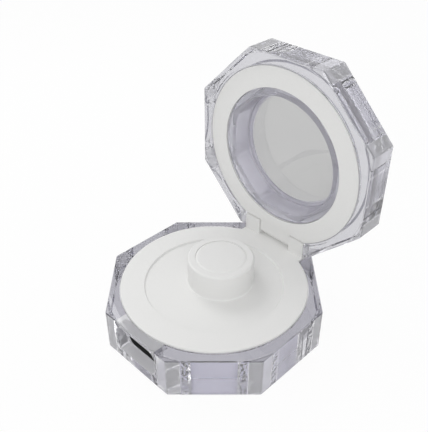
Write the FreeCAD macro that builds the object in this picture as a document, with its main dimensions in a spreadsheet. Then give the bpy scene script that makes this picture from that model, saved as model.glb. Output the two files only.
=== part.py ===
# Clear octagonal charging case for a finger ring, shown open.
# Millimetres. Z is up, the hinge is at +Y and the port at -Y.
# The origin is the middle of the foot pad's underside.
import FreeCAD, Part
import math
import os
import re

import Sketcher

Vector = FreeCAD.Vector
Rotation = FreeCAD.Rotation
Placement = FreeCAD.Placement

doc = FreeCAD.newDocument("ring_charging_case")

# Driving sizes
SIZES = (
    # clear body
    ("across_flats", 48.0, "clear octagon over its flats"),
    ("base_height", 10.4, "height of the clear base"),
    ("lid_thickness", 7.6, "thickness of the clear lid"),
    ("edge_bevel", 0.2, "bevel on the outer edges of the clear parts"),
    ("closed_gap", 0.2, "gap between base and lid when shut"),
    ("rim_land", 2.2, "clear border round the deck at the flats"),
    ("film", 0.05, "thin film between the clear parts and what is bonded to them"),
    # foot
    ("foot_proud", 0.4, "how far the pad lifts the clear base"),
    ("foot_pad_thickness", 0.8, "thickness of the foot pad"),
    ("foot_pad_bevel", 0.2, "bevel under the foot pad"),
    ("foot_pad_border", 0.8, "tub border left round the pad"),
    ("foot_pad_gap", 0.1, "gap round the pad in its recess"),
    # inner tub
    ("tub_flats", 30.0, "inner tub over its flats"),
    ("tub_wall", 1.0, "wall of the tub"),
    ("tub_floor", 1.4, "floor of the tub"),
    ("tub_round", 1.5, "rounding of the tub's corners"),
    ("tub_gap", 0.1, "gap between tub and clear base"),
    ("flange_lap", 0.4, "tub flange's lap under the clear base"),
    ("flange_thickness", 0.25, "thickness of that flange"),
    # deck
    ("deck_gap", 0.1, "gap round the deck in its seat"),
    ("deck_proud", 0.42, "deck rim above the clear base"),
    ("deck_round", 0.35, "rounding of the deck's rim"),
    ("seat_depth", 0.5, "depth of the deck's seat"),
    ("dish_radius", 16.2, "shallow dish in the deck"),
    ("dish_depth", 0.45, "depth of the dish"),
    ("dish_slope", 0.25, "run of the dish's sloped edge"),
    ("spigot_depth", 0.9, "spigot under the deck"),
    ("spigot_gap", 0.2, "gap between spigot and tub"),
    # charging post
    ("post_radius", 7.7, "post the finger ring goes over"),
    ("post_offset", 2.2, "post centre towards the hinge"),
    ("post_headroom", 0.35, "space over the post in the shut lid"),
    ("post_wall", 1.2, "wall of the hollow post"),
    ("post_crown", 1.2, "thickness of the post's top"),
    ("post_round", 0.5, "rounding of the post's top edge"),
    ("post_foot", 0.4, "rounding at the post's foot"),
    ("cap_border", 1.8, "post top left round the flush cap"),
    ("cap_depth", 0.7, "thickness of the cap"),
    ("cap_seam", 0.03, "seam round the cap"),
    ("cap_slope", 0.5, "width of the slope at the cap's edge"),
    ("cap_dip", 0.15, "drop of that slope"),
    # hinge
    ("pivot_inset", 1.5, "pin axis from the back face"),
    ("pivot_rise", 2.0, "pin axis above the shut lid's inner face"),
    ("hinge_width", 18.52, "over both hinge posts"),
    ("hinge_front", 1.5, "hinge post ahead of the pin axis"),
    ("hinge_behind", 1.4, "hinge post behind the pin axis"),
    ("crown_radius", 2.75, "crown of the hinge posts about the pin"),
    ("tongue_root", 4.0, "hinge tongue's lap onto the deck"),
    ("knuckle_width", 9.4, "middle knuckle"),
    ("knuckle_radius", 1.15, "radius of the knuckle"),
    ("knuckle_gap", 0.1, "gap on each side of the knuckle"),
    ("arm_root", 0.45, "knuckle arm's lap into the lid ring"),
    ("root_groove", 0.45, "depth of the groove between arm and ring"),
    ("pin_radius", 0.5, "hinge pin"),
    ("pin_inset", 0.16, "pin end inside the hinge post's face"),
    ("pin_fit", 0.05, "running fit of the knuckle on the pin"),
    ("pin_seat", 0.01, "fit of the pin in the hinge posts"),
    ("swing_gap", 0.3, "lid clear of the hinge posts as it swings"),
    ("stop_pad_height", 0.25, "stop pad above the deck"),
    ("stop_gap", 0.03, "play at the open stop"),
    ("heel_depth", 1.0, "heel that meets the stop pad"),
    ("edge_rest", 0.4, "lid face left behind the pin axis"),
    # lid
    ("window_thickness", 0.9, "clear window of the lid"),
    ("bore_step", 1.1, "step in at the bottom of the bore"),
    ("bore_round", 0.9, "rounding of that step"),
    ("bore_lip", 0.3, "lip left under the step"),
    ("mouth_round", 0.5, "rounding of the bore's mouth"),
    ("ledge_width", 2.1, "sleeve ledge inside the white ring"),
    ("ledge_drop", 0.3, "ledge behind the ring's face"),
    ("collar_gap", 0.2, "gap between sleeve and ring"),
    ("sleeve_wall", 0.9, "sleeve wall at its flats"),
    ("sleeve_gap", 0.1, "gap between sleeve and lid"),
    ("ring_recess", 0.5, "ring's face behind the lid's face"),
    ("ring_thickness", 1.6, "thickness of the white ring"),
    ("ring_width", 4.9, "width of the white ring"),
    ("ring_inset", 0.2, "ring smaller than the deck"),
    ("ring_gap", 0.1, "gap round the ring in its seat"),
    ("recess_gap", 0.4, "lid recess larger than the deck"),
    # port
    ("port_width", 12.9, "recess for the plug's grip"),
    ("port_height", 6.8, "height of that recess"),
    ("port_round", 2.2, "corners of the recess"),
    ("port_web", 0.5, "clear web over the recess"),
    ("port_depth", 2.5, "face to port plate"),
    ("plate_side", 1.15, "recess left at each end of the port plate"),
    ("plate_edge", 0.3, "recess left above and below the port plate"),
    ("port_gap", 0.1, "gap round the port plate and sleeve"),
    ("plate_thickness", 0.5, "port plate"),
    ("usb_width", 8.94, "receptacle shell"),
    ("usb_height", 3.26, "height of the receptacle shell"),
    ("usb_round", 1.5, "corners of the receptacle shell"),
    ("usb_wall", 0.25, "wall of the receptacle shell"),
    ("usb_length", 10.8, "length of the receptacle shell"),
    ("usb_inset", 0.2, "receptacle mouth behind the plate's face"),
    ("usb_clearance", 0.17, "gap round the receptacle"),
    ("usb_block", 2.0, "insulator block at the receptacle's back"),
    ("tongue_width", 6.6, "contact tongue"),
    ("tongue_height", 0.7, "thickness of the contact tongue"),
    ("tongue_inset", 0.8, "tongue tip inside the mouth"),
    # board and cell
    ("board_thickness", 0.8, "circuit board"),
    ("board_gap", 0.2, "board to tub wall"),
    ("board_room", 0.7, "board and cell clear of the bosses"),
    ("board_back", 8.6, "board edge towards the hinge"),
    ("board_hole", 0.6, "screw holes in the board"),
    ("standoff_radius", 1.3, "standoffs under the board"),
    ("standoff_front_x", 5.6, "front standoffs from the middle"),
    ("standoff_back_x", 6.0, "back standoffs from the middle"),
    ("standoff_front_edge", 2.3, "front standoffs from the board's edge"),
    ("standoff_back_edge", 1.6, "back standoffs from the board's edge"),
    ("board_screw_radius", 0.5, "board screw shank"),
    ("board_screw_length", 2.5, "board screw below its head"),
    ("board_screw_head", 0.9, "board screw head radius"),
    ("board_screw_head_height", 0.5, "board screw head height"),
    ("thread_gap", 0.02, "pilot hole over the screw"),
    ("pilot_past", 0.1, "pilot hole beyond the screw's tip"),
    ("cell_pad", 0.2, "adhesive pad under the cell"),
    ("cell_pad_border", 0.8, "pad inside the cell's outline"),
    ("cell_gap", 0.27, "cell under the board"),
    ("cell_round", 0.5, "rounding of the cell's corners"),
    ("lead_width", 3.0, "lead strip from the cell"),
    ("lead_thickness", 0.15, "thickness of the lead strip"),
    ("lead_lap", 1.5, "lead strip's lap on the board"),
    ("lead_drop", 0.6, "lead strip's foot above the cell's underside"),
    ("lead_place", 2.5, "lead strip from the middle"),
    ("main_chip", 4.0, "larger chip"),
    ("main_chip_height", 0.9, "height of the larger chip"),
    ("side_chip", 3.0, "smaller chip"),
    ("side_chip_height", 0.75, "height of the smaller chip"),
    ("chip_place", 5.0, "chips from the middle"),
    # coil
    ("coil_foot_radius", 5.5, "foot of the bobbin"),
    ("coil_foot_height", 0.8, "height of that foot"),
    ("coil_stem", 3.9, "bobbin stem radius"),
    ("coil_gap", 0.3, "bobbin flange to post wall"),
    ("coil_flange_height", 0.6, "bobbin flange thickness"),
    ("coil_height", 4.3, "winding height"),
    ("coil_edge", 0.2, "winding inside the bobbin's flanges"),
    ("coil_headroom", 0.25, "bobbin under the post's top"),
    ("core_radius", 3.0, "ferrite core"),
    ("core_gap", 0.05, "core in the bobbin"),
    ("core_drop", 0.3, "core below the bobbin's top"),
    # deck screws and magnets
    ("boss_radius", 1.5, "screw bosses under the deck"),
    ("boss_gap", 0.3, "boss to tub wall"),
    ("screw_radius", 0.6, "deck screw shank"),
    ("screw_length", 5.5, "deck screw below its head"),
    ("screw_gap", 0.1, "clearance round shank and head"),
    ("screw_head", 0.95, "deck screw head radius"),
    ("screw_head_height", 0.5, "deck screw head height"),
    ("magnet_radius", 1.5, "closing magnets"),
    ("magnet_gap", 0.05, "gap round a magnet"),
    ("magnet_angle", 12.7, "degrees from the middle of the front"),
    ("base_magnet_height", 0.6, "magnets under the deck"),
    ("lid_magnet_height", 1.0, "magnets behind the ring"),
    # cutting shapes
    ("past", 1.0, "how far cutting shapes run past the piece"),
)

# Places worked out from those sizes
CORNER = "22.5 deg"
PLACES = (
    ("half_flats", "across_flats / 2"),
    ("shell_bottom", "foot_proud"),
    ("shell_top", "shell_bottom + base_height"),
    ("seat_level", "shell_top - seat_depth"),
    ("deck_level", "shell_top + deck_proud"),
    ("dish_level", "deck_level - dish_depth"),
    ("spigot_level", "seat_level - spigot_depth"),
    ("deck_radius", "half_flats - rim_land"),
    ("tub_half", "tub_flats / 2"),
    ("flange_top", "shell_bottom - film"),
    ("tub_bottom", "flange_top - flange_thickness"),
    ("tub_inside", "tub_half - tub_wall"),
    ("tub_floor_level", "shell_bottom + tub_floor"),
    ("tub_inside_round", "tub_round - tub_wall"),
    ("foot_pad_radius", "tub_half - foot_pad_border"),
    ("screw_x", "tub_inside - boss_gap - boss_radius"),
    ("screw_y", f"screw_x * tan({CORNER})"),
    ("head_level", "foot_pad_thickness + screw_head_height"),
    ("lid_face", "shell_top + closed_gap"),
    ("pivot_y", "half_flats - pivot_inset"),
    ("pivot_z", "lid_face + pivot_rise"),
    ("swing_reach", "crown_radius + swing_gap"),
    ("chord_y", "pivot_y - swing_reach"),
    ("hinge_half", "hinge_width / 2"),
    ("knuckle_half", "knuckle_width / 2"),
    ("stop_level", "deck_level + stop_pad_height"),
    ("heel_drop", "pivot_z - stop_level - stop_gap"),
    ("edge_chamfer", "pivot_inset - edge_rest"),
    ("cavity_depth", "lid_thickness - window_thickness"),
    ("bore_depth", "cavity_depth - bore_lip"),
    ("post_level", "lid_face + cavity_depth - post_headroom"),
    ("hollow_level", "post_level - post_crown"),
    ("cap_level", "post_level - cap_depth"),
    ("cap_radius", "post_radius - cap_border"),
    ("port_level", "seat_level - port_web - port_height / 2"),
    ("port_face", "half_flats - port_depth"),
    ("plate_back", "port_face - plate_thickness"),
    ("usb_front", "port_face - usb_inset"),
    ("usb_back", "usb_front - usb_length"),
    ("usb_slot_width", "usb_width + 2 * usb_clearance"),
    ("usb_slot_height", "usb_height + 2 * usb_clearance"),
    ("usb_slot_round", "usb_round + usb_clearance"),
    ("tunnel_width", "port_width - 2 * plate_side"),
    ("tunnel_height", "port_height - 2 * plate_edge"),
    ("tunnel_round", "port_round - plate_edge"),
    ("port_fill_width", "tunnel_width - 2 * port_gap"),
    ("port_fill_height", "tunnel_height - 2 * port_gap"),
    ("port_fill_round", "tunnel_round - port_gap"),
    ("usb_inner_width", "usb_width - 2 * usb_wall"),
    ("usb_inner_height", "usb_height - 2 * usb_wall"),
    ("usb_inner_round", "usb_round - usb_wall"),
    ("board_level", "port_level - usb_height / 2"),
    ("board_bottom", "board_level - board_thickness"),
    ("board_front", "tub_inside - board_gap"),
    ("board_half", "screw_x - boss_radius - board_room"),
    ("board_reach", "tub_inside * sqrt(2) - 2 * board_gap"),
    ("standoff_front_y", "0 - board_front + standoff_front_edge"),
    ("standoff_back_y", "board_back - standoff_back_edge"),
    ("board_screw_tip", "board_level - board_screw_length"),
    ("cell_bottom", "tub_floor_level + cell_pad"),
    ("cell_top", "board_bottom - cell_gap"),
    ("cell_front", "standoff_front_y + standoff_radius + board_room"),
    ("cell_back", "standoff_back_y - standoff_radius - board_room"),
    ("chip_y", "(post_offset - coil_foot_radius - usb_back) / 2"),
    ("bobbin_top", "hollow_level - coil_headroom"),
    ("coil_flange", "post_radius - post_wall - coil_gap"),
    ("coil_radius", "coil_flange - coil_edge"),
    ("coil_top", "bobbin_top - coil_flange_height"),
    ("coil_bottom", "coil_top - coil_height"),
    ("coil_foot_level", "board_level + coil_foot_height"),
    ("ring_outer", "deck_radius - ring_inset"),
    ("ring_inner", "ring_outer - ring_width"),
    ("bore_radius", "ring_inner - ledge_width"),
    ("ring_middle", "(ring_inner + ring_outer) / 2"),
    ("ring_back", "ring_recess + ring_thickness"),
    ("arm_level", "pivot_rise - knuckle_radius"),
    ("ledge_level", "ring_recess + ledge_drop"),
    ("sleeve_flats", "2 * (bore_radius + sleeve_wall)"),
    ("magnet_x", "ring_middle * sin(magnet_angle * 1 deg)"),
    ("magnet_y", "0 - ring_middle * cos(magnet_angle * 1 deg)"),
)

# How close two numbers count as the same, and turns in degrees
NEAR = 0.0001
QUARTER_TURN = 90
WHOLE_TURN = 360

SIZE_NAMES = [row[0] for row in SIZES]
PLACE_NAMES = [row[0] for row in PLACES]


def formula(text):
    """Turn plain size names into references to the sheets."""
    def owner(match):
        word = match.group(0)
        if word in SIZE_NAMES:
            return "Sizes." + word
        if word in PLACE_NAMES:
            return "Places." + word
        return word
    return re.sub(r"[A-Za-z_]\w*", owner, text)


sizes = doc.addObject("Spreadsheet::Sheet", "Sizes")
for row, (name, number, note) in enumerate(SIZES, start=1):
    sizes.set(f"A{row}", name)
    sizes.set(f"B{row}", str(number))
    sizes.setAlias(f"B{row}", name)
    sizes.set(f"C{row}", note)
places = doc.addObject("Spreadsheet::Sheet", "Places")
for row, (name, text) in enumerate(PLACES, start=1):
    places.set(f"A{row}", name)
    places.setAlias(f"B{row}", name)
for row, (name, text) in enumerate(PLACES, start=1):
    places.set(f"B{row}", "=" + formula(text))
doc.recompute()


def value(name):
    """The number a sheet holds under a name."""
    return float(getattr(sizes if name in SIZE_NAMES else places, name))


def bind(thing, prop, text):
    thing.setExpression(prop, formula(text))


def put(thing, x, y, z):
    bind(thing, "Placement.Base.x", x)
    bind(thing, "Placement.Base.y", y)
    bind(thing, "Placement.Base.z", z)
    return thing


# Plain solids
def box(name, x0, x1, y0, y1, z0, z1):
    """A block between two corners."""
    thing = doc.addObject("Part::Box", name)
    bind(thing, "Length", f"({x1}) - ({x0})")
    bind(thing, "Width", f"({y1}) - ({y0})")
    bind(thing, "Height", f"({z1}) - ({z0})")
    return put(thing, x0, y0, z0)


def rod(name, radius, x, y, z0, z1):
    """An upright cylinder."""
    thing = doc.addObject("Part::Cylinder", name)
    bind(thing, "Radius", radius)
    bind(thing, "Height", f"({z1}) - ({z0})")
    return put(thing, x, y, z0)


def axle(name, radius, half_length, y, z):
    """A cylinder along X, centred on the middle plane."""
    thing = doc.addObject("Part::Cylinder", name)
    thing.Placement = Placement(Vector(), Rotation(Vector(0, 1, 0), QUARTER_TURN))
    bind(thing, "Radius", radius)
    bind(thing, "Height", f"2 * ({half_length})")
    return put(thing, f"0 - ({half_length})", y, z)


def fuse(name, *shapes):
    thing = doc.addObject("Part::MultiFuse", name)
    thing.Shapes = list(shapes)
    return thing


def cut(name, base, *tools):
    """Take the tools away from the base; every cut must remove something."""
    thing = doc.addObject("Part::Cut", name)
    thing.Base = base
    thing.Tool = tools[0] if len(tools) == 1 else fuse(name + "_tools", *tools)
    doc.recompute()
    if thing.Shape.Volume >= base.Shape.Volume:
        raise RuntimeError(name + ": the cut removes nothing")
    return thing


def common(name, first, second):
    thing = doc.addObject("Part::Common", name)
    thing.Base = first
    thing.Tool = second
    return thing


# Sketched solids
def sketch_on(body, name, role, points):
    """A closed outline whose every corner is tied to the sheets."""
    outline = body.newObject("Sketcher::SketchObject", name)
    plane = [item for item in body.Origin.OriginFeatures if item.Role == role][0]
    outline.AttachmentSupport = [(plane, "")]
    outline.MapMode = "FlatFace"
    count = len(points)
    turns = [2 * math.pi * index / count for index in range(count)]
    start = [Vector(math.cos(turn), math.sin(turn), 0) for turn in turns]
    for index in range(count):
        outline.addGeometry(Part.LineSegment(start[index], start[(index + 1) % count]))
    for index in range(count):
        outline.addConstraint(Sketcher.Constraint("Coincident", index, 2, (index + 1) % count, 1))
    for index, (across, up) in enumerate(points):
        ties = (("DistanceX", across, start[index].x), ("DistanceY", up, start[index].y))
        for kind, text, first in ties:
            number = outline.addConstraint(Sketcher.Constraint(kind, -1, 1, index, 1, first))
            bind(outline, f"Constraints[{number}]", text)
    return outline


def padded(name, role, points, offset, length):
    """An outline pushed along its plane's normal."""
    body = doc.addObject("PartDesign::Body", name)
    outline = sketch_on(body, name + "_outline", role, points)
    bind(outline, "AttachmentOffset.Base.z", offset)
    pad = body.newObject("PartDesign::Pad", name + "_pad")
    pad.Profile = outline
    bind(pad, "Length", length)
    doc.recompute()
    return body


def edges_along(shape, direction):
    """Names of the straight edges that run along a direction."""
    found = []
    for index, edge in enumerate(shape.Edges, start=1):
        straight = isinstance(edge.Curve, Part.Line)
        if straight and edge.tangentAt(edge.FirstParameter).cross(direction).Length < NEAR:
            found.append(f"Edge{index}")
    return found


def circles_at(shape, radius_name, level_name):
    """Numbers of the circular edges of a named radius at a named height."""
    radius = value(radius_name)
    level = value(level_name)
    found = []
    for index, edge in enumerate(shape.Edges, start=1):
        if not isinstance(edge.Curve, Part.Circle):
            continue
        if abs(edge.Curve.Radius - radius) < NEAR and abs(edge.Curve.Center.z - level) < NEAR:
            found.append(index)
    return found


def rounded_at(body, size, radius_name, level_name):
    """Round a turned body's circular edge."""
    edges = [f"Edge{index}" for index in circles_at(body.Tip.Shape, radius_name, level_name)]
    return dress(body, "PartDesign::Fillet", "Radius", size, edges)


def dress(body, kind, prop, size, edges):
    """Round or bevel edges of a body's last feature."""
    if not edges:
        raise RuntimeError(body.Name + ": no edge to dress")
    base = body.Tip
    feature = body.newObject(kind, body.Name + "_" + prop.lower())
    feature.Base = (base, edges)
    bind(feature, prop, size)
    doc.recompute()
    return body


def rounded(body, size, direction):
    return dress(body, "PartDesign::Fillet", "Radius", size, edges_along(body.Tip.Shape, direction))


def octagon(name, flats, z0, z1):
    """An upright octagon with flats facing X and Y."""
    half = f"({flats}) / 2"
    side = f"({flats}) / 2 * tan({CORNER})"
    less = "0 - "
    corners = [
        (half, side), (side, half), (less + side, half), (less + half, side),
        (less + half, less + side), (less + side, less + half),
        (side, less + half), (half, less + side)]
    return padded(name, "XY_Plane", corners, z0, f"({z1}) - ({z0})")


def bar(name, width, height, z, y0, y1):
    """A straight bar along Y, centred on X."""
    left = f"0 - ({width}) / 2"
    right = f"({width}) / 2"
    low = f"({z}) - ({height}) / 2"
    high = f"({z}) + ({height}) / 2"
    points = [(left, low), (right, low), (right, high), (left, high)]
    return padded(name, "XZ_Plane", points, f"0 - ({y1})", f"({y1}) - ({y0})")


def turned(name, points):
    """A profile of radius and height, turned about Z."""
    body = doc.addObject("PartDesign::Body", name)
    outline = sketch_on(body, name + "_profile", "XZ_Plane", points)
    turn = body.newObject("PartDesign::Revolution", name + "_turn")
    turn.Profile = outline
    turn.ReferenceAxis = (outline, ["V_Axis"])
    turn.Angle = WHOLE_TURN
    doc.recompute()
    return body


UP = Vector(0, 0, 1)
ALONG = Vector(0, 1, 0)
nodes = []


def bevelled(body):
    """Bevel every edge of a clear block."""
    edges = [f"Edge{index}" for index in range(1, len(body.Tip.Shape.Edges) + 1)]
    return dress(body, "PartDesign::Chamfer", "Size", "edge_bevel", edges)


def part(thing, label):
    thing.Label = label
    nodes.append(thing)
    return thing


def lid_part(thing, label):
    """Lid pieces are drawn lying on their inner face and stood up open at the hinge."""
    thing.Placement = Placement(Vector(), Rotation(Vector(1, 0, 0), -QUARTER_TURN))
    put(thing, "0", "pivot_y - pivot_rise", "pivot_y + pivot_z")
    return part(thing, label)


def mirrored(places_x):
    """The same place on both sides of the middle plane."""
    return (("left", f"0 - ({places_x})"), ("right", places_x))


# Clear base
base_block = octagon("base_block", "across_flats", "shell_bottom", "shell_top")
bevelled(base_block)
base_bore = octagon("base_bore", "tub_flats + 2 * tub_gap", "shell_bottom - past", "shell_top + past")
rounded(base_bore, "tub_round + tub_gap", UP)
deck_seat = rod("deck_seat", "deck_radius + deck_gap", "0", "0",
                "seat_level - film", "shell_top + past")
tongue_seat = box("tongue_seat", "0 - hinge_half - deck_gap", "hinge_half + deck_gap",
                  "deck_radius - tongue_root", "half_flats + past",
                  "seat_level - film", "shell_top + past")
port_recess = bar("port_recess", "port_width", "port_height", "port_level",
                  "0 - half_flats - past", "0 - port_face")
rounded(port_recess, "port_round", ALONG)
port_tunnel = bar("port_tunnel", "tunnel_width", "tunnel_height", "port_level",
                  "0 - port_face - past", "0 - tub_half")
rounded(port_tunnel, "tunnel_round", ALONG)
part(cut("base_shell", base_block, base_bore, deck_seat, tongue_seat, port_recess, port_tunnel),
     "base_shell")

# Inner tub
tub_block = octagon("tub_block", "tub_flats", "tub_bottom", "seat_level")
rounded(tub_block, "tub_round", UP)
tub_flange = octagon("tub_flange", "tub_flats + 2 * flange_lap", "tub_bottom", "flange_top")
rounded(tub_flange, "tub_round + flange_lap", UP)
tub_solid = fuse("tub_solid", tub_block, tub_flange)
tub_room = octagon("tub_room", "tub_flats - 2 * tub_wall", "tub_floor_level", "seat_level + past")
rounded(tub_room, "tub_inside_round", UP)
tub_window = bar("tub_window", "usb_slot_width", "usb_slot_height", "port_level",
                 "0 - tub_half - past", "0 - tub_inside + past")
rounded(tub_window, "usb_slot_round", ALONG)
foot_recess = rod("foot_recess", "foot_pad_radius + foot_pad_gap", "0", "0",
                  "tub_bottom - past", "foot_pad_thickness")
tub_shell = cut("tub_shell", tub_solid, tub_room, tub_window, foot_recess)
standoffs = []
standoff_pilots = []
board_holes = []
board_screw_shapes = []
for end in ("front", "back"):
    y = f"standoff_{end}_y"
    for side, x in mirrored(f"standoff_{end}_x"):
        tag = end + "_" + side
        standoffs.append(rod("standoff_" + tag, "standoff_radius", x, y,
                             "tub_floor_level", "board_bottom"))
        standoff_pilots.append(rod("standoff_pilot_" + tag, "board_screw_radius + thread_gap", x, y,
                                   "board_screw_tip - pilot_past", "board_bottom + past"))
        board_holes.append(rod("board_hole_" + tag, "board_hole", x, y,
                               "board_bottom - past", "board_level + past"))
        board_screw_shapes.append(rod("board_shank_" + tag, "board_screw_radius", x, y,
                                      "board_screw_tip", "board_level"))
        board_screw_shapes.append(rod("board_head_" + tag, "board_screw_head", x, y,
                                      "board_level", "board_level + board_screw_head_height"))
bosses = []
boss_pilots = []
screw_holes = []
deck_screw_shapes = []
for end, y in (("front", "0 - screw_y"), ("back", "screw_y")):
    for side, x in mirrored("screw_x"):
        tag = end + "_" + side
        bosses.append(rod("boss_" + tag, "boss_radius", x, y, "tub_floor_level", "seat_level"))
        boss_pilots.append(rod("boss_pilot_" + tag, "screw_radius + thread_gap", x, y,
                               "tub_floor_level - past", "head_level + screw_length + pilot_past"))
        screw_holes.append(rod("screw_hole_" + tag, "screw_radius + screw_gap", x, y,
                               "tub_bottom", "tub_floor_level + past"))
        screw_holes.append(rod("head_hole_" + tag, "screw_head + screw_gap", x, y,
                               "tub_bottom", "head_level"))
        deck_screw_shapes.append(rod("deck_head_" + tag, "screw_head", x, y,
                                     "foot_pad_thickness", "head_level"))
        deck_screw_shapes.append(rod("deck_shank_" + tag, "screw_radius", x, y,
                                     "head_level", "head_level + screw_length"))
tub_whole = fuse("tub_whole", tub_shell, *standoffs)
part(cut("inner_tub", tub_whole, *standoff_pilots, *screw_holes), "inner_tub")
part(fuse("deck_screws", *deck_screw_shapes), "deck_screws")
part(fuse("board_screws", *board_screw_shapes), "board_screws")

# Foot pad
part(turned("foot_pad", [
    ("0", "0"), ("foot_pad_radius - foot_pad_bevel", "0"), ("foot_pad_radius", "foot_pad_bevel"),
    ("foot_pad_radius", "foot_pad_thickness"), ("0", "foot_pad_thickness")]), "foot_pad")

# Deck with its post and hinge posts
deck_plate = turned("deck_plate", [
    ("0", "spigot_level"), ("tub_inside - spigot_gap", "spigot_level"),
    ("tub_inside - spigot_gap", "seat_level"), ("deck_radius", "seat_level"),
    ("deck_radius", "deck_level"), ("dish_radius", "deck_level"),
    ("dish_radius - dish_slope", "dish_level"), ("0", "dish_level")])
rounded_at(deck_plate, "deck_round", "deck_radius", "deck_level")
post_body = turned("post_body", [
    ("0", "spigot_level"), ("post_radius", "spigot_level"),
    ("post_radius", "post_level"), ("0", "post_level")])
rounded_at(post_body, "post_round", "post_radius", "post_level")
put(post_body, "0", "post_offset", "0")
post_and_plate = fuse("post_and_plate", deck_plate, post_body)
doc.recompute()
post_rounded = doc.addObject("Part::Fillet", "post_rounded")
post_rounded.Base = post_and_plate
foot_size = value("post_foot")
foot_edges = circles_at(post_and_plate.Shape, "post_radius", "dish_level")
post_rounded.Edges = [(index, foot_size, foot_size) for index in foot_edges]
hinge_tongue = box("hinge_tongue", "0 - hinge_half", "hinge_half", "deck_radius - tongue_root",
                   "pivot_y + hinge_behind", "seat_level", "deck_level")
stop_pad = box("stop_pad", "0 - knuckle_half", "knuckle_half", "pivot_y", "pivot_y + hinge_behind",
               "seat_level", "stop_level")
hinge_posts = []
for side, sign in (("left", "0 - "), ("right", "")):
    near = f"{sign}(knuckle_half + knuckle_gap)"
    far = f"{sign}hinge_half"
    low, high = (far, near) if sign else (near, far)
    hinge_posts.append(box("hinge_post_" + side, low, high, "pivot_y - hinge_front",
                           "pivot_y + hinge_behind", "seat_level", "pivot_z"))
    crown_block = box("crown_block_" + side, low, high, "pivot_y - hinge_front",
                      "pivot_y + hinge_behind", "pivot_z", "pivot_z + crown_radius")
    crown_round = axle("crown_round_" + side, "crown_radius", "hinge_half + past",
                       "pivot_y", "pivot_z")
    hinge_posts.append(common("hinge_crown_" + side, crown_block, crown_round))
deck_solid = fuse("deck_solid", post_rounded, hinge_tongue, stop_pad, *hinge_posts, *bosses)
post_hollow = rod("post_hollow", "post_radius - post_wall", "0", "post_offset",
                  "spigot_level - past", "hollow_level")
cap_recess = rod("cap_recess", "cap_radius + cap_seam", "0", "post_offset",
                 "cap_level", "post_level + past")
post_pin_hole = axle("post_pin_hole", "pin_radius + pin_seat", "hinge_half + past",
                     "pivot_y", "pivot_z")
base_magnet_shapes = []
base_magnet_pockets = []
lid_magnet_shapes = []
lid_magnet_pockets = []
for side, x in mirrored("magnet_x"):
    base_magnet_shapes.append(rod("base_magnet_" + side, "magnet_radius", x, "magnet_y",
                                  "seat_level", "seat_level + base_magnet_height"))
    base_magnet_pockets.append(rod("base_pocket_" + side, "magnet_radius + magnet_gap", x, "magnet_y",
                                   "seat_level - past", "seat_level + base_magnet_height"))
    lid_magnet_shapes.append(rod("lid_magnet_" + side, "magnet_radius", x, "magnet_y",
                                 "ring_back - lid_magnet_height", "ring_back"))
    lid_magnet_pockets.append(rod("lid_pocket_" + side, "magnet_radius + magnet_gap", x, "magnet_y",
                                  "ring_back - lid_magnet_height", "ring_back + past"))
deck_cuts = [post_hollow, cap_recess, post_pin_hole, *base_magnet_pockets, *boss_pilots]
part(cut("deck", deck_solid, *deck_cuts), "deck")
part(fuse("base_magnets", *base_magnet_shapes), "base_magnets")

# Cap in the top of the post
post_cap = turned("post_cap", [
    ("0", "cap_level"), ("cap_radius", "cap_level"), ("cap_radius", "post_level - cap_dip"),
    ("cap_radius - cap_slope", "post_level"), ("0", "post_level")])
part(put(post_cap, "0", "post_offset", "0"), "post_cap")

# Hinge pin
part(axle("hinge_pin", "pin_radius", "hinge_half - pin_inset", "pivot_y", "pivot_z"), "hinge_pin")

# Port plate, sleeve and receptacle
port_plate = bar("port_plate", "port_fill_width", "port_fill_height", "port_level",
                 "0 - port_face", "0 - plate_back")
rounded(port_plate, "port_fill_round", ALONG)
sleeve_block = bar("sleeve_block", "port_fill_width", "port_fill_height", "port_level",
                   "0 - plate_back", "0 - tub_half")
rounded(sleeve_block, "port_fill_round", ALONG)
for block, label in ((port_plate, "usb_bezel"), (sleeve_block, "port_sleeve")):
    slot = bar(label + "_slot", "usb_slot_width", "usb_slot_height", "port_level",
               "0 - port_face - past", "0 - tub_half + past")
    rounded(slot, "usb_slot_round", ALONG)
    part(cut(label, block, slot), label)
usb_outside = bar("usb_outside", "usb_width", "usb_height", "port_level",
                  "0 - usb_front", "0 - usb_back")
rounded(usb_outside, "usb_round", ALONG)
usb_inside = bar("usb_inside", "usb_inner_width", "usb_inner_height", "port_level",
                 "0 - usb_front - past", "0 - usb_back + past")
rounded(usb_inside, "usb_inner_round", ALONG)
part(cut("usb_shell", usb_outside, usb_inside), "usb_shell")
usb_fill = bar("usb_fill", "usb_inner_width", "usb_inner_height", "port_level",
               "0 - usb_back - usb_block", "0 - usb_back")
rounded(usb_fill, "usb_inner_round", ALONG)
contact_tongue = bar("contact_tongue", "tongue_width", "tongue_height", "port_level",
                     "0 - usb_front + tongue_inset", "0 - usb_back")
part(fuse("usb_tongue", usb_fill, contact_tongue), "usb_tongue")

# Board and what is on it
board_plate = padded("board_plate", "XY_Plane", [
    ("board_reach - board_front", "0 - board_front"), ("board_half", "board_half - board_reach"),
    ("board_half", "board_back"), ("0 - board_half", "board_back"),
    ("0 - board_half", "board_half - board_reach"), ("board_front - board_reach", "0 - board_front")],
    "board_bottom", "board_thickness")
part(cut("main_board", board_plate, *board_holes), "main_board")
main_chip_block = box("main_chip_block", "0 - chip_place - main_chip / 2",
                      "0 - chip_place + main_chip / 2", "chip_y - main_chip / 2",
                      "chip_y + main_chip / 2", "board_level", "board_level + main_chip_height")
side_chip_block = box("side_chip_block", "chip_place - side_chip / 2", "chip_place + side_chip / 2",
                      "chip_y - side_chip / 2", "chip_y + side_chip / 2", "board_level",
                      "board_level + side_chip_height")
part(fuse("board_chips", main_chip_block, side_chip_block), "board_chips")

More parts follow.
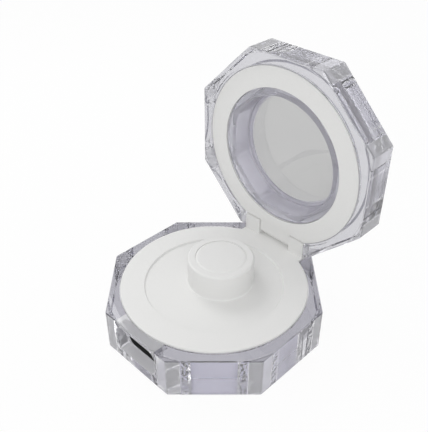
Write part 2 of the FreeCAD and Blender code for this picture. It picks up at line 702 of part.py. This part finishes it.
# Cell, its pad and its lead
cell = padded("cell", "XY_Plane", [
    ("0 - board_half", "cell_front"), ("board_half", "cell_front"), ("board_half", "cell_back"),
    ("0 - board_half", "cell_back")], "cell_bottom", "cell_top - cell_bottom")
rounded(cell, "cell_round", UP)
part(cell, "battery_cell")
battery_pad = box("battery_pad", "0 - board_half + cell_pad_border", "board_half - cell_pad_border",
                  "cell_front + cell_pad_border", "cell_back - cell_pad_border",
                  "tub_floor_level", "cell_bottom")
part(battery_pad, "battery_pad")
lead_rise = box("lead_rise", "board_half", "board_half + lead_thickness",
                "0 - lead_place - lead_width / 2", "0 - lead_place + lead_width / 2",
                "cell_bottom + lead_drop", "board_level + lead_thickness")
lead_flat = box("lead_flat", "board_half - lead_lap", "board_half",
                "0 - lead_place - lead_width / 2", "0 - lead_place + lead_width / 2",
                "board_level", "board_level + lead_thickness")
part(fuse("battery_tab", lead_rise, lead_flat), "battery_tab")

# Coil inside the post
bobbin = turned("bobbin", [
    ("0", "board_level"), ("coil_foot_radius", "board_level"), ("coil_foot_radius", "coil_foot_level"),
    ("coil_stem", "coil_foot_level"), ("coil_stem", "coil_bottom - coil_flange_height"),
    ("coil_flange", "coil_bottom - coil_flange_height"), ("coil_flange", "coil_bottom"),
    ("coil_stem", "coil_bottom"), ("coil_stem", "coil_top"),
    ("coil_flange", "coil_top"), ("coil_flange", "bobbin_top"),
    ("core_radius + core_gap", "bobbin_top"), ("core_radius + core_gap", "coil_foot_level"),
    ("0", "coil_foot_level")])
part(put(bobbin, "0", "post_offset", "0"), "coil_bobbin")
winding = turned("winding", [
    ("coil_stem", "coil_bottom"), ("coil_radius", "coil_bottom"), ("coil_radius", "coil_top"),
    ("coil_stem", "coil_top")])
part(put(winding, "0", "post_offset", "0"), "charging_coil")
ferrite_core = rod("ferrite_core", "core_radius", "0", "post_offset",
                   "coil_foot_level", "bobbin_top - core_drop")
part(ferrite_core, "ferrite_core")

# Clear lid
lid_block = octagon("lid_block", "across_flats", "0", "lid_thickness")
bevelled(lid_block)
lid_recess = rod("lid_recess", "deck_radius + recess_gap", "0", "0", "0 - past", "ring_recess")
ring_seat = rod("ring_seat", "ring_outer + ring_gap", "0", "0", "0 - past", "ring_back + film")
lid_cavity = octagon("lid_cavity", "sleeve_flats + 2 * sleeve_gap",
                     "0 - past", "cavity_depth + film")
rounded(lid_cavity, "tub_round + sleeve_gap", UP)
lid_notch = box("lid_notch", "0 - hinge_half - swing_gap", "hinge_half + swing_gap",
                "chord_y", "half_flats + past", "0 - past", "pivot_rise + swing_reach")
lid_edge = padded("lid_edge", "YZ_Plane", [
    ("half_flats - edge_chamfer - past", "0 - past"), ("half_flats + past", "0 - past"),
    ("half_flats + past", "edge_chamfer + past")], "0 - half_flats", "across_flats")
lid_cuts = [lid_recess, ring_seat, lid_cavity, lid_notch, lid_edge]
lid_part(cut("lid_shell", lid_block, *lid_cuts), "lid_shell")

# White ring with the middle knuckle
ring_disc = rod("ring_disc", "ring_outer", "0", "0", "ring_recess", "ring_back")
ring_hole = rod("ring_hole", "ring_inner", "0", "0", "0", "ring_back + past")
ring_chord = box("ring_chord", "0 - ring_outer", "ring_outer", "chord_y", "ring_outer + past",
                 "0", "ring_back + past")
ring_plain = cut("ring_plain", ring_disc, ring_hole, ring_chord)
knuckle_arm = box("knuckle_arm", "0 - knuckle_half", "knuckle_half", "chord_y - arm_root", "pivot_y",
                  "arm_level", "ring_back")
knuckle_barrel = axle("knuckle_barrel", "knuckle_radius", "knuckle_half", "pivot_y", "pivot_rise")
knuckle_heel = box("knuckle_heel", "0 - knuckle_half", "knuckle_half",
                   "pivot_y", "pivot_y + heel_drop", "pivot_rise", "pivot_rise + heel_depth")
knuckle_hole = axle("knuckle_hole", "pin_radius + pin_fit", "knuckle_half + past",
                    "pivot_y", "pivot_rise")
arm_groove = box("arm_groove", "0 - knuckle_half - past", "knuckle_half + past",
                 "chord_y", "chord_y + swing_gap", "0", "arm_level + root_groove")
ring_whole = fuse("ring_whole", ring_plain, knuckle_arm, knuckle_barrel, knuckle_heel)
lid_part(cut("lid_ring", ring_whole, knuckle_hole, arm_groove, *lid_magnet_pockets), "lid_ring")
lid_part(fuse("lid_magnets", *lid_magnet_shapes), "lid_magnets")

# Lavender sleeve of the window
sleeve_body = octagon("sleeve_body", "sleeve_flats", "ring_back", "cavity_depth")
rounded(sleeve_body, "tub_round", UP)
sleeve_collar = rod("sleeve_collar", "ring_inner - collar_gap", "0", "0", "ledge_level", "ring_back")
sleeve_bore = turned("sleeve_bore", [
    ("0", "0"), ("bore_radius", "0"),
    ("bore_radius", "bore_depth"), ("bore_radius - bore_step", "bore_depth"),
    ("bore_radius - bore_step", "cavity_depth + past"), ("0", "cavity_depth + past")])
rounded_at(sleeve_bore, "bore_round", "bore_radius", "bore_depth")
sleeve_plain = cut("sleeve_plain", fuse("sleeve_solid", sleeve_body, sleeve_collar), sleeve_bore)
sleeve = doc.addObject("Part::Fillet", "sleeve")
sleeve.Base = sleeve_plain
mouth_size = value("mouth_round")
mouth_edges = circles_at(sleeve_plain.Shape, "bore_radius", "ledge_level")
sleeve.Edges = [(index, mouth_size, mouth_size) for index in mouth_edges]
lid_part(sleeve, "lid_sleeve")

# Check every object and write the pieces
doc.recompute()
for thing in doc.Objects:
    if "Invalid" in thing.State or "Error" in thing.State:
        raise RuntimeError(thing.Label + ": " + str(thing.State))
os.makedirs("parts", exist_ok=True)
for thing in nodes:
    shape = thing.Shape
    if shape.isNull() or not shape.isValid() or not shape.Solids:
        raise RuntimeError(thing.Label + ": no valid solid")
    shape.exportStep(f"parts/{thing.Label}.step")
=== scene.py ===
import bpy
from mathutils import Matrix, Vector


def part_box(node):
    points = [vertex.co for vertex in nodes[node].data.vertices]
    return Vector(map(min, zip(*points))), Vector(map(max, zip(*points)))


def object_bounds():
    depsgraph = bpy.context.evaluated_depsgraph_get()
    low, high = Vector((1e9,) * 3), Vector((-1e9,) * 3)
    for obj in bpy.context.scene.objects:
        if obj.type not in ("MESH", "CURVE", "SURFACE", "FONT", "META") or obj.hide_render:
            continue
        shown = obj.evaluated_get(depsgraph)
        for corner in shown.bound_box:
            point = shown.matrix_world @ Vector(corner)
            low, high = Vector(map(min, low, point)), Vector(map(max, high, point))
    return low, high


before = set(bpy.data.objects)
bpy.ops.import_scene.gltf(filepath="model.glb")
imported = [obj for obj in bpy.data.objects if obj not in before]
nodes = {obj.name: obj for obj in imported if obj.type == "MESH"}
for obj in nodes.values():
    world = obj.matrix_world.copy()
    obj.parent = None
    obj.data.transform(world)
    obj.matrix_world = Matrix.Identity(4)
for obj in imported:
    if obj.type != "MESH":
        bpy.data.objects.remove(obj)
cad_low, cad_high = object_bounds()
scene = bpy.context.scene
scene.view_settings.view_transform = "Standard"

# Boxes of the nodes that the looks are placed by
base_low, base_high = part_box("base_shell")
lid_low, lid_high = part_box("lid_shell")
ring_low, ring_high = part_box("lid_ring")
sleeve_low, sleeve_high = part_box("lid_sleeve")
plate_low, plate_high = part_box("usb_bezel")
centre = (base_low + base_high) / 2
window = (sleeve_low + sleeve_high) / 2

# Directions that faces look in
UP = (0.0, 0.0, 1.0)
DOWN = (0.0, 0.0, -1.0)
FRONT = (0.0, -1.0, 0.0)
BACK = (0.0, 1.0, 0.0)

# What counts of a distance: off an upright axis, off one that runs front to back, or sideways alone
OFF_UPRIGHT = (1.0, 1.0, 0.0)
OFF_LYING = (1.0, 0.0, 1.0)
SIDEWAYS = (1.0, 0.0, 0.0)

# Values that the finishes share
REFRACTION = 1.49
PLAIN_GLOSS = 0.5
GRAIN_DETAIL = 4.0
BUMP_HEIGHT = 0.00005
RIPPLE_DETAIL = 1.0
MASK_EDGE = 0.996
WHITE = (1.0, 1.0, 1.0, 1.0)


# Finishes
def material(name, dark, light, rough, grain, clear=0.0, metal=0.0, bump=0.0, gloss=PLAIN_GLOSS):
    """A plastic, metal or clear finish whose colour and roughness vary with a fine grain."""
    made = bpy.data.materials.new(name)
    made.use_nodes = True
    tree = made.node_tree
    shader = tree.nodes["Principled BSDF"]
    noise = tree.nodes.new("ShaderNodeTexNoise")
    noise.inputs["Scale"].default_value = grain
    noise.inputs["Detail"].default_value = GRAIN_DETAIL
    tree.links.new(place(made), noise.inputs["Vector"])
    tint = tree.nodes.new("ShaderNodeMix")
    tint.data_type = "RGBA"
    tint.inputs["A"].default_value = (*dark, 1.0)
    tint.inputs["B"].default_value = (*light, 1.0)
    tree.links.new(noise.outputs["Fac"], tint.inputs["Factor"])
    tree.links.new(tint.outputs["Result"], shader.inputs["Base Color"])
    roughness = tree.nodes.new("ShaderNodeMapRange")
    roughness.inputs["To Min"].default_value = rough[0]
    roughness.inputs["To Max"].default_value = rough[1]
    tree.links.new(noise.outputs["Fac"], roughness.inputs["Value"])
    tree.links.new(roughness.outputs["Result"], shader.inputs["Roughness"])
    shader.inputs["Metallic"].default_value = metal
    shader.inputs["Transmission Weight"].default_value = clear
    shader.inputs["IOR"].default_value = REFRACTION
    shader.inputs["Specular IOR Level"].default_value = gloss
    if bump:
        raised = tree.nodes.new("ShaderNodeBump")
        raised.inputs["Strength"].default_value = bump
        raised.inputs["Distance"].default_value = BUMP_HEIGHT
        tree.links.new(noise.outputs["Fac"], raised.inputs["Height"])
        tree.links.new(raised.outputs["Normal"], shader.inputs["Normal"])
    return made


# Masks: where on a piece something holds, from zero to one
def place(made):
    """Where a point of the surface lies in the frame."""
    return made.node_tree.nodes.new("ShaderNodeTexCoord").outputs["Object"]


def vector_step(made, operation, value, other=(0.0, 0.0, 0.0)):
    """One step of vector arithmetic on a value, with a fixed second value."""
    tree = made.node_tree
    step = tree.nodes.new("ShaderNodeVectorMath")
    step.operation = operation
    step.inputs[1].default_value = other
    tree.links.new(value, step.inputs[0])
    return step.outputs["Value" if operation in ("LENGTH", "DOT_PRODUCT") else "Vector"]


def from_axis(made, point, counted):
    """Distance from an axis or plane through a point."""
    moved = vector_step(made, "SUBTRACT", place(made), point)
    return vector_step(made, "LENGTH", vector_step(made, "MULTIPLY", moved, counted))


def from_box(made, point, half):
    """Distance from a box of given half lengths about a point."""
    moved = vector_step(made, "SUBTRACT", place(made), point)
    past = vector_step(made, "SUBTRACT", vector_step(made, "ABSOLUTE", moved), half)
    return vector_step(made, "LENGTH", vector_step(made, "MAXIMUM", past))


def ramp(made, value, start, end):
    """Zero up to a start, one from an end on, and even between them."""
    tree = made.node_tree
    rise = tree.nodes.new("ShaderNodeMapRange")
    rise.inputs["From Min"].default_value = start
    rise.inputs["From Max"].default_value = end
    tree.links.new(value, rise.inputs["Value"])
    return rise.outputs["Result"]


def within(made, distance, radius):
    """One inside a radius, with a narrow edge."""
    return ramp(made, distance, radius, radius * MASK_EDGE)


def beyond(made, distance, radius):
    """One outside a radius, with a narrow edge."""
    return ramp(made, distance, radius * MASK_EDGE, radius)


def skin(made, outward, level, depth):
    """One from a level along a direction down to a depth below it."""
    height = vector_step(made, "DOT_PRODUCT", place(made), outward)
    return ramp(made, height, level - depth, level - depth * MASK_EDGE)


def both(made, one, other):
    """One where two masks are one."""
    tree = made.node_tree
    product = tree.nodes.new("ShaderNodeMath")
    product.operation = "MULTIPLY"
    tree.links.new(one, product.inputs[0])
    tree.links.new(other, product.inputs[1])
    return product.outputs[0]


def between(made, distance, near, far):
    """One from a near radius to a far one."""
    return both(made, beyond(made, distance, near), within(made, distance, far))


# Changes to a finish where a mask holds
def shaded(made, mask, dark, light):
    """Gives a finish a second, grained colour."""
    tree = made.node_tree
    colour = tree.nodes["Principled BSDF"].inputs["Base Color"]
    shade = tree.nodes.new("ShaderNodeMix")
    shade.data_type = "RGBA"
    shade.inputs["A"].default_value = (*dark, 1.0)
    shade.inputs["B"].default_value = (*light, 1.0)
    tree.links.new(tree.nodes["Noise Texture"].outputs["Fac"], shade.inputs["Factor"])
    mixed = tree.nodes.new("ShaderNodeMix")
    mixed.data_type = "RGBA"
    tree.links.new(mask, mixed.inputs["Factor"])
    tree.links.new(colour.links[0].from_socket, mixed.inputs["A"])
    tree.links.new(shade.outputs["Result"], mixed.inputs["B"])
    tree.links.new(mixed.outputs["Result"], colour)


def milky(made, mask, clearness):
    """Lets less light straight through a clear finish."""
    tree = made.node_tree
    weight = tree.nodes["Principled BSDF"].inputs["Transmission Weight"]
    mixed = tree.nodes.new("ShaderNodeMix")
    mixed.inputs["A"].default_value = weight.default_value
    if weight.is_linked:
        tree.links.new(weight.links[0].from_socket, mixed.inputs["A"])
    mixed.inputs["B"].default_value = clearness
    tree.links.new(mask, mixed.inputs["Factor"])
    tree.links.new(mixed.outputs["Result"], weight)


def rippled(made, mask, grain, depth):
    """Waves the surface of a clear finish, so that it glints."""
    tree = made.node_tree
    normal = tree.nodes["Principled BSDF"].inputs["Normal"]
    waves = tree.nodes.new("ShaderNodeTexNoise")
    waves.inputs["Scale"].default_value = grain
    waves.inputs["Detail"].default_value = RIPPLE_DETAIL
    tree.links.new(place(made), waves.inputs["Vector"])
    raised = tree.nodes.new("ShaderNodeBump")
    raised.inputs["Distance"].default_value = depth
    tree.links.new(both(made, waves.outputs["Fac"], mask), raised.inputs["Height"])
    if normal.is_linked:
        tree.links.new(normal.links[0].from_socket, raised.inputs["Normal"])
    tree.links.new(raised.outputs["Normal"], normal)


# Tones of the clear parts, each from dark to light
PALE = ((0.85, 0.848, 0.885), (0.88, 0.878, 0.915))
# Painted shade: greys the base's top face, standing in for the shadowed floor seen through it
TOP_FACE_PAINTED_SHADE = ((0.255, 0.25, 0.295), (0.295, 0.29, 0.335))
# Painted shade: greys the lid's inner face
LID_FACE_PAINTED_SHADE = ((0.54, 0.54, 0.57), (0.59, 0.59, 0.62))
LILAC = ((0.62, 0.61, 0.70), (0.66, 0.65, 0.74))
# Painted shade: darkens the lid's window pane
PANE_PAINTED_SHADE = ((0.54, 0.54, 0.54), (0.58, 0.58, 0.58))
SHADOW = ((0.62, 0.62, 0.64), (0.66, 0.66, 0.68))
SATIN = ((0.88, 0.87, 0.92), (0.91, 0.90, 0.95))
# Painted shade: greys the sleeve's front ledge
LEDGE_PAINTED_SHADE = ((0.70, 0.70, 0.74), (0.74, 0.74, 0.78))
SLEEVE_TINT = ((0.92, 0.91, 0.98), (0.95, 0.94, 1.0))

# How clear they are: plain, in the lid's sleeve, and where they are hazy
CLEAR = 0.93
SLEEVE_CLEAR = 0.78
CORNER_HAZE = 0.62
SATIN_HAZE = 0.25
END_HAZE = 0.6
WEB_HAZE = 0.5
PANE_HAZE = 0.25
SLEEVE_HAZE = 0.4

# Their roughness from least to most, their grain, and the grain and depth of the ripples that glint
CLEAR_ROUGH = (0.0, 0.02)
SLEEVE_ROUGH = (0.02, 0.06)
CLEAR_GRAIN = 60.0
BASE_RIPPLES = (700.0, 0.0008)
END_RIPPLES = (500.0, 0.0005)
LID_RIPPLES = (315.0, 0.0003)

# Where glints and corners start, as shares of half the octagon's width, and how deep a face's colour goes
GLINTS_START = 1.024
CORNERS_START = 1.042
FACE_SKIN = 0.0002

# The port recess: its corners, and its room past the port plate at the ends, above and below
RECESS_ROUND = 0.0022
RECESS_SIDE = 0.00125
RECESS_EDGE = 0.0004
RECESS_MARGIN = 0.0001

# The lid: the window pane and its edge as shares of half the sleeve's width, the depth of that edge,
# the wall round the ring as shares of half the ring's width, and the sleeve's outer wall
PANE_SHARE = 0.85
PANE_EDGE_SHARE = 1.06
PANE_DEPTH = 0.001
RING_WALL_START = 0.99
RING_WALL_END = 1.015
SLEEVE_WALL_SHARE = 0.93
SLEEVE_WALL_DEPTH = 0.85


def acrylic(name, point, counted, half_flats, ripples):
    """Polished clear plastic, hazy in the corners of the octagon and with glints beside them."""
    made = material(name, *PALE, CLEAR_ROUGH, CLEAR_GRAIN, clear=CLEAR)
    radius = from_axis(made, point, counted)
    milky(made, beyond(made, radius, half_flats * CORNERS_START), CORNER_HAZE)
    glints = between(made, radius, half_flats * GLINTS_START, half_flats * CORNERS_START)
    rippled(made, glints, *ripples)
    return made


def base_acrylic():
    """The base: a satin roof and floor in the port recess, painted shade on the floor and on the web
    above, glints at the recess ends, and painted shade greying the top face.
    """
    made = acrylic("clear_acrylic", centre, OFF_UPRIGHT, base_high.x, BASE_RIPPLES)
    plate = (plate_low + plate_high) / 2
    plate_half = (plate_high - plate_low) / 2
    middle = Vector((plate.x, (base_low.y + plate_low.y) / 2, plate.z))
    core = Vector((plate_half.x + RECESS_SIDE - RECESS_ROUND, middle.y - base_low.y,
                   plate_half.z + RECESS_EDGE - RECESS_ROUND))
    recess = within(made, from_box(made, middle, core), RECESS_ROUND + RECESS_MARGIN)
    sideways = from_axis(made, middle, SIDEWAYS)
    flats = both(made, recess, within(made, sideways, plate_half.x))
    ends = both(made, recess, beyond(made, sideways, plate_half.x))
    lower_half = skin(made, DOWN, -base_low.z, middle.z - base_low.z)
    milky(made, flats, SATIN_HAZE)
    shaded(made, flats, *SATIN)
    # Painted shade: the lower half of the recess, its floor, darker than the roof
    shaded(made, both(made, flats, lower_half), *SHADOW)
    milky(made, ends, END_HAZE)
    rippled(made, ends, *END_RIPPLES)
    top = skin(made, UP, base_high.z, FACE_SKIN)
    # Painted shade: the base's top face greyed
    shaded(made, top, *TOP_FACE_PAINTED_SHADE)
    # Painted shade: the top face over the recess, made hazier and darker
    core.z = base_high.z - middle.z
    web = both(made, within(made, from_box(made, middle, core), RECESS_ROUND), top)
    milky(made, web, WEB_HAZE)
    shaded(made, web, *SHADOW)
    return made


def lid_acrylic():
    """The lid: painted shade greying the inner face and the window pane, a lilac wall round the ring, and
    a milky edge round the pane.
    """
    made = acrylic("lid_acrylic", window, OFF_LYING, lid_high.x, LID_RIPPLES)
    radius = from_axis(made, window, OFF_LYING)
    ring_wall = between(made, radius, ring_high.x * RING_WALL_START, ring_high.x * RING_WALL_END)
    milky(made, ring_wall, SATIN_HAZE)
    shaded(made, ring_wall, *LILAC)
    # Painted shade: the lid's inner face greyed
    shaded(made, skin(made, FRONT, -lid_low.y, ring_low.y - lid_low.y + FACE_SKIN), *LID_FACE_PAINTED_SHADE)
    # Painted shade: the window pane darkened
    shaded(made, within(made, radius, sleeve_high.x * PANE_SHARE), *PANE_PAINTED_SHADE)
    pane_edge = between(made, radius, sleeve_high.x * PANE_SHARE, sleeve_high.x * PANE_EDGE_SHARE)
    pane_edge = both(made, pane_edge, skin(made, BACK, lid_high.y, PANE_DEPTH))
    milky(made, pane_edge, PANE_HAZE)
    shaded(made, pane_edge, *SATIN)
    return made


def sleeve_plastic():
    """The lid's sleeve: clear lavender plastic with painted shade greying the ledge in front, and a milky
    outer wall.
    """
    made = material("lavender_clear", *SLEEVE_TINT, SLEEVE_ROUGH, CLEAR_GRAIN, clear=SLEEVE_CLEAR)
    # Painted shade: the sleeve's front ledge greyed
    shaded(made, skin(made, FRONT, -sleeve_low.y, FACE_SKIN), *LEDGE_PAINTED_SHADE)
    outer = beyond(made, from_axis(made, window, OFF_LYING), sleeve_high.x * SLEEVE_WALL_SHARE)
    behind_ledge = skin(made, BACK, sleeve_high.y, (sleeve_high.y - sleeve_low.y) * SLEEVE_WALL_DEPTH)
    milky(made, both(made, outer, behind_ledge), SLEEVE_HAZE)
    return made


clear = base_acrylic()
lid_clear = lid_acrylic()

# Plastics: name, darkest and lightest colour, least and most roughness, and grain
lavender = material("lavender_plastic", (0.78, 0.76, 0.90), (0.82, 0.80, 0.93), (0.30, 0.40), 300.0)
lavender_clear = sleeve_plastic()
white = material("white_plastic", (0.79, 0.79, 0.78), (0.82, 0.82, 0.81), (0.42, 0.52), 2500.0, bump=0.15)
black = material("black_plastic", (0.004, 0.004, 0.004), (0.008, 0.008, 0.008), (0.5, 0.6), 1500.0,
                 gloss=0.1)
bobbin = material("bobbin_plastic", (0.72, 0.70, 0.62), (0.80, 0.78, 0.70), (0.5, 0.6), 900.0)
chip = material("chip_black", (0.02, 0.02, 0.02), (0.04, 0.04, 0.04), (0.5, 0.6), 900.0)
green = material("board_green", (0.02, 0.15, 0.07), (0.05, 0.22, 0.11), (0.3, 0.45), 700.0)
foam = material("pad_foam", (0.10, 0.10, 0.10), (0.18, 0.18, 0.18), (0.8, 0.95), 1200.0)
rubber = material("foot_rubber", (0.62, 0.62, 0.63), (0.70, 0.70, 0.71), (0.8, 0.95), 1800.0, bump=0.3)

# Metals and the ferrite core, in the same order
steel = material("screw_steel", (0.50, 0.50, 0.51), (0.60, 0.60, 0.61), (0.25, 0.4), 900.0, metal=1.0)
port_steel = material("port_steel", (0.56, 0.56, 0.57), (0.66, 0.66, 0.67), (0.2, 0.35), 900.0, metal=1.0)
foil = material("cell_foil", (0.66, 0.66, 0.67), (0.76, 0.76, 0.77), (0.3, 0.45), 400.0, metal=1.0)
brass = material("lead_brass", (0.68, 0.52, 0.25), (0.78, 0.62, 0.35), (0.25, 0.4), 700.0, metal=1.0)
copper = material("coil_copper", (0.62, 0.28, 0.12), (0.78, 0.40, 0.20), (0.3, 0.45), 2500.0, metal=1.0)
ferrite = material("core_ferrite", (0.04, 0.04, 0.045), (0.08, 0.08, 0.09), (0.6, 0.75), 900.0)
nickel = material("magnet_plate", (0.68, 0.68, 0.70), (0.78, 0.78, 0.80), (0.15, 0.3), 600.0, metal=1.0)

finishes = {
    "base_shell": clear, "lid_shell": lid_clear, "inner_tub": lavender, "lid_sleeve": lavender_clear,
    "deck": white, "post_cap": white, "lid_ring": white, "port_sleeve": white,
    "usb_bezel": black, "usb_tongue": black, "usb_shell": port_steel,
    "main_board": green, "board_chips": chip, "board_screws": steel, "deck_screws": steel,
    "battery_cell": foil, "battery_pad": foam, "battery_tab": brass,
    "coil_bobbin": bobbin, "charging_coil": copper, "ferrite_core": ferrite,
    "base_magnets": nickel, "lid_magnets": nickel, "foot_pad": rubber, "hinge_pin": steel}
for name, finish in finishes.items():
    nodes[name].data.materials.clear()
    nodes[name].data.materials.append(finish)


# Floor and surroundings
def seen_white(tree, lit, paper_kind, strength):
    """White to the eye, in reflections and through the clear plastic; plain light elsewhere."""
    rays = tree.nodes.new("ShaderNodeLightPath")
    seen = rays.outputs["Is Camera Ray"]
    for kind in ("Is Glossy Ray", "Is Transmission Ray"):
        either = tree.nodes.new("ShaderNodeMath")
        either.operation = "MAXIMUM"
        tree.links.new(seen, either.inputs[0])
        tree.links.new(rays.outputs[kind], either.inputs[1])
        seen = either.outputs[0]
    share = tree.nodes.new("ShaderNodeMath")
    share.operation = "MULTIPLY"
    share.inputs[1].default_value = strength
    tree.links.new(seen, share.inputs[0])
    paper = tree.nodes.new(paper_kind)
    paper.inputs["Color"].default_value = WHITE
    mixed = tree.nodes.new("ShaderNodeMixShader")
    tree.links.new(share.outputs[0], mixed.inputs["Fac"])
    tree.links.new(lit.outputs[0], mixed.inputs[1])
    tree.links.new(paper.outputs[0], mixed.inputs[2])
    return mixed


FLOOR_REACH = 4.0
FLOOR_DROP = 0.00002
FLOOR_WHITE = 0.95
floor_corners = [(FLOOR_REACH * x, FLOOR_REACH * y, 0.0) for x, y in ((-1, -1), (1, -1), (1, 1), (-1, 1))]
floor_mesh = bpy.data.meshes.new("floor")
floor_mesh.from_pydata(floor_corners, [], [(0, 1, 2, 3)])
floor = bpy.data.objects.new("floor", floor_mesh)
floor.location.z = cad_low.z - FLOOR_DROP
scene.collection.objects.link(floor)
card = material("floor_card", (0.86, 0.86, 0.86), (0.88, 0.88, 0.88), (0.8, 0.9), 20.0)
card_nodes = card.node_tree.nodes
card_mix = seen_white(card.node_tree, card_nodes["Principled BSDF"], "ShaderNodeEmission", FLOOR_WHITE)
card.node_tree.links.new(card_mix.outputs[0], card_nodes["Material Output"].inputs["Surface"])
floor_mesh.materials.append(card)

SKY_LIGHT = 0.66
SKY_WHITE = 1.0
world = bpy.data.worlds.new("studio")
scene.world = world
world.use_nodes = True
sky = world.node_tree.nodes["Background"]
sky.inputs["Color"].default_value = WHITE
sky.inputs["Strength"].default_value = SKY_LIGHT
sky_mix = seen_white(world.node_tree, sky, "ShaderNodeBackground", SKY_WHITE)
sky_out = world.node_tree.nodes["World Output"]
world.node_tree.links.new(sky_mix.outputs[0], sky_out.inputs["Surface"])


def facing(eye, target):
    """Rotation of a lamp or camera that looks from one point to another."""
    return (Vector(target) - Vector(eye)).to_track_quat("-Z", "Y").to_euler()


def softbox(name, position, target, size, power):
    """A soft square light aimed at a point."""
    data = bpy.data.lights.new(name, "AREA")
    data.size = size
    data.energy = power
    lamp = bpy.data.objects.new(name, data)
    lamp.location = position
    lamp.rotation_euler = facing(position, target)
    scene.collection.objects.link(lamp)


# Lamps: name, place, point they are aimed at, width and power
softbox("key", (-0.17, 0.02, 0.19), (0.0, 0.0, 0.01), 0.12, 0.14)
softbox("fill", (0.16, -0.20, 0.22), (0.0, 0.01, 0.02), 0.20, 0.24)

# Camera at the photo's angle
EYE = (0.07747, -0.07752, 0.10816)
AIM = (-0.00987, 0.00984, 0.01990)
FOCAL_LENGTH_MM = 52.09
SENSOR_WIDTH_MM = 36.0
NEAREST = 0.005
lens = bpy.data.cameras.new("camera")
lens.lens = FOCAL_LENGTH_MM
lens.sensor_width = SENSOR_WIDTH_MM
lens.clip_start = NEAREST
camera = bpy.data.objects.new("camera", lens)
camera.location = EYE
camera.rotation_euler = facing(EYE, AIM)
scene.collection.objects.link(camera)
scene.camera = camera
